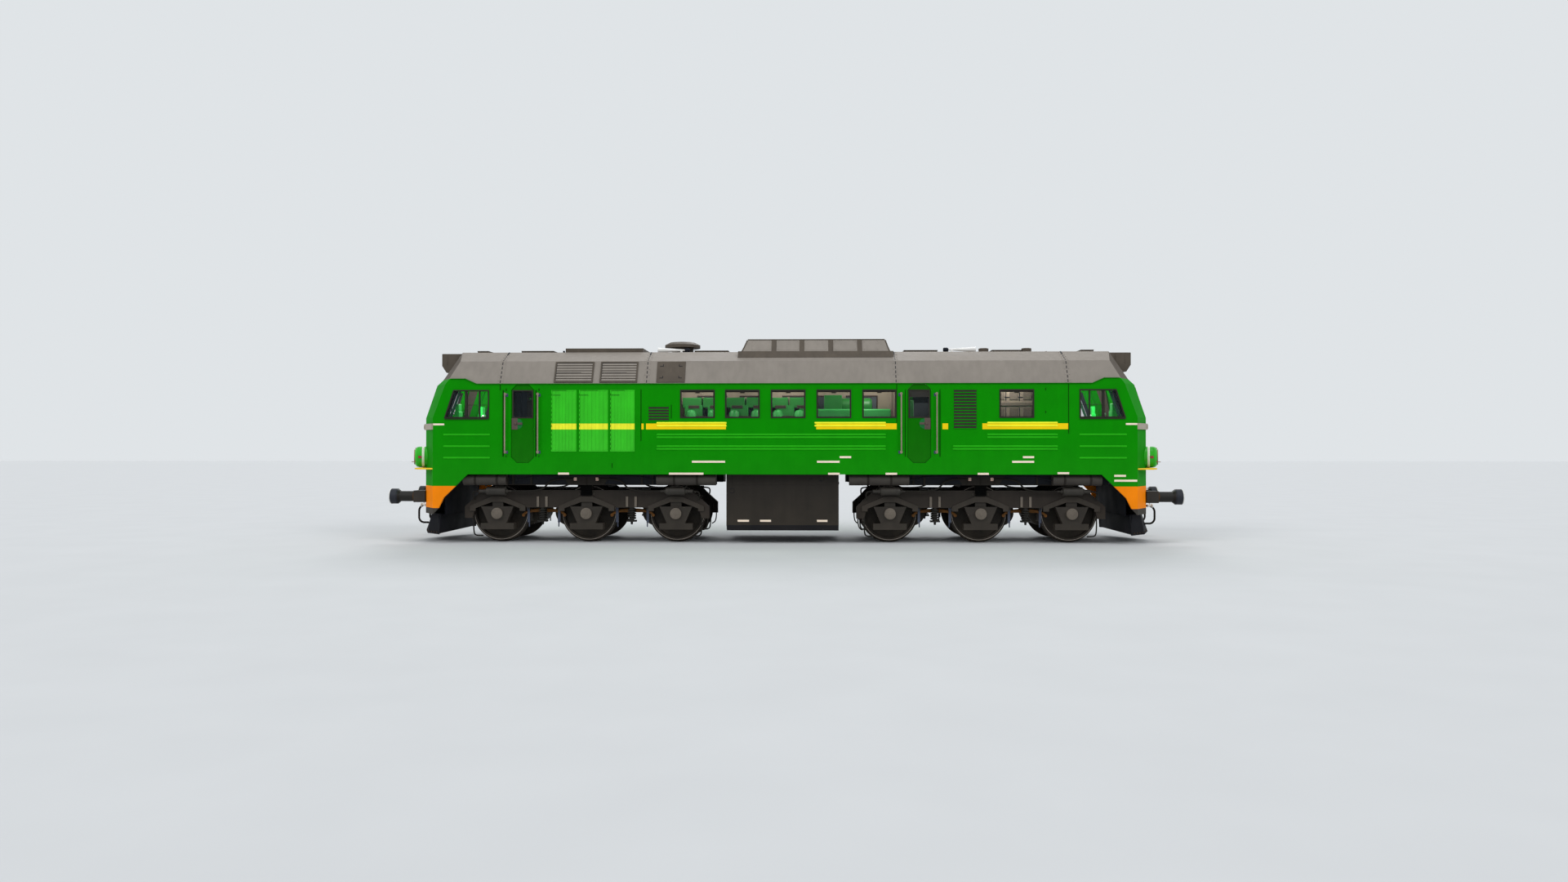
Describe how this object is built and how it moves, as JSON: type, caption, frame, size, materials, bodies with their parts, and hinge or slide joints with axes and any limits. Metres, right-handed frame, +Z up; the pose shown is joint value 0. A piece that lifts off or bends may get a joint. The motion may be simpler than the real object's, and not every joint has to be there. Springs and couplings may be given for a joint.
{
  "type": "diesel locomotive",
  "caption": "Six-axle diesel locomotive with a cab at each end, two swivelling bogies, side doors and a fuel tank slung between the bogies.",
  "frame": {"origin": "below the middle of the locomotive, on the plane under the wheel flanges", "axes": "+X forwards along the locomotive, +Y to its left, +Z up"},
  "size_m": [17.55, 3.074, 4.5148],
  "materials": {
    "green_paint": "semi-gloss",
    "bright_green_paint": "semi-gloss",
    "dark_green_paint": "semi-gloss",
    "roof_paint": "matte",
    "trim_paint": "matte",
    "frame_paint": "matte, dusty",
    "black_paint": "matte",
    "hose_rubber": "matte",
    "lamp_metal": "satin",
    "rail_metal": "worn",
    "wheel_steel": "rolled tread, dusty web",
    "window_glass": "clear",
    "horn_paint": "gloss",
    "interior_paint": "matte",
    "machine_green": "semi-gloss",
    "seat_fabric": "worn"
  },
  "bodies": {
    "body": {"side_wall_left": "green_paint", "side_wall_right": "green_paint", "nose_front": "green_paint", "nose_rear": "green_paint", "radiator_shutters": "bright_green_paint", "lamp_drums": "bright_green_paint", "cab_roof_front": "roof_paint", "cab_roof_rear": "roof_paint", "roof_cooling": "roof_paint", "roof_engine": "roof_paint", "roof_electrical": "roof_paint", "raised_housing": "roof_paint", "roof_headlights": "trim_paint", "roof_panels": "trim_paint", "roof_hatches": "trim_paint", "fan_shutter": "trim_paint", "exhaust_cowl": "trim_paint", "side_louvres": "trim_paint", "underframe": "frame_paint", "fuel_tank": "frame_paint", "air_reservoirs": "frame_paint", "buffers": "frame_paint", "ploughs": "black_paint", "draw_hooks": "black_paint", "brake_hoses": "hose_rubber", "marker_lamps": "lamp_metal", "handrails": "rail_metal", "window_glass": "window_glass", "windscreens": "window_glass", "horns": "horn_paint", "bulkheads": "interior_paint", "electrical_cabinet": "interior_paint", "control_desks": "interior_paint", "diesel_engine": "machine_green", "main_generator": "machine_green", "driver_seats": "seat_fabric"},
    "rear_door_left": {"rear_door_left": "dark_green_paint"},
    "rear_door_right": {"rear_door_right": "dark_green_paint"},
    "front_door_left": {"front_door_left": "dark_green_paint"},
    "front_door_right": {"front_door_right": "dark_green_paint"},
    "bogie_front": {"bogie_frame_front": "frame_paint", "axle_boxes_front": "frame_paint", "traction_motors_front": "frame_paint", "brake_gear_front": "frame_paint"},
    "wheelset_front_outer": {"wheelset_front_outer": "wheel_steel"},
    "wheelset_front_middle": {"wheelset_front_middle": "wheel_steel"},
    "wheelset_front_inner": {"wheelset_front_inner": "wheel_steel"},
    "bogie_rear": {"bogie_frame_rear": "frame_paint", "axle_boxes_rear": "frame_paint", "traction_motors_rear": "frame_paint", "brake_gear_rear": "frame_paint"},
    "wheelset_rear_outer": {"wheelset_rear_outer": "wheel_steel"},
    "wheelset_rear_middle": {"wheelset_rear_middle": "wheel_steel"},
    "wheelset_rear_inner": {"wheelset_rear_inner": "wheel_steel"}
  },
  "joints": [
    {"name": "rear_door_left_hinge", "type": "hinge", "parent": "body", "child": "rear_door_left", "pos_m": [-5.411, 1.4, 0], "axis": [0, 0, 1], "range_deg": [0, 90]},
    {"name": "front_door_left_hinge", "type": "hinge", "parent": "body", "child": "front_door_left", "pos_m": [2.709, 1.4, 0], "axis": [0, 0, -1], "range_deg": [0, 90]},
    {"name": "rear_door_right_hinge", "type": "hinge", "parent": "body", "child": "rear_door_right", "pos_m": [-5.411, -1.4, 0], "axis": [0, 0, -1], "range_deg": [0, 90]},
    {"name": "front_door_right_hinge", "type": "hinge", "parent": "body", "child": "front_door_right", "pos_m": [2.709, -1.4, 0], "axis": [0, 0, 1], "range_deg": [0, 90]},
    {"name": "bogie_front_swivel", "type": "hinge", "parent": "body", "child": "bogie_front", "pos_m": [4.325, 0, 1.07], "axis": [0, 0, 1], "range_deg": [-3.5, 3.5]},
    {"name": "wheelset_front_outer_spin", "type": "hinge", "parent": "bogie_front", "child": "wheelset_front_outer", "pos_m": [6.301, 0, 0.648], "axis": [0, 1, 0], "continuous": true},
    {"name": "wheelset_front_middle_spin", "type": "hinge", "parent": "bogie_front", "child": "wheelset_front_middle", "pos_m": [4.325, 0, 0.648], "axis": [0, 1, 0], "continuous": true},
    {"name": "wheelset_front_inner_spin", "type": "hinge", "parent": "bogie_front", "child": "wheelset_front_inner", "pos_m": [2.349, 0, 0.648], "axis": [0, 1, 0], "continuous": true},
    {"name": "bogie_rear_swivel", "type": "hinge", "parent": "body", "child": "bogie_rear", "pos_m": [-4.325, 0, 1.07], "axis": [0, 0, 1], "range_deg": [-3.5, 3.5]},
    {"name": "wheelset_rear_outer_spin", "type": "hinge", "parent": "bogie_rear", "child": "wheelset_rear_outer", "pos_m": [-6.301, 0, 0.648], "axis": [0, 1, 0], "continuous": true},
    {"name": "wheelset_rear_middle_spin", "type": "hinge", "parent": "bogie_rear", "child": "wheelset_rear_middle", "pos_m": [-4.325, 0, 0.648], "axis": [0, 1, 0], "continuous": true},
    {"name": "wheelset_rear_inner_spin", "type": "hinge", "parent": "bogie_rear", "child": "wheelset_rear_inner", "pos_m": [-2.349, 0, 0.648], "axis": [0, 1, 0], "continuous": true}
  ]
}
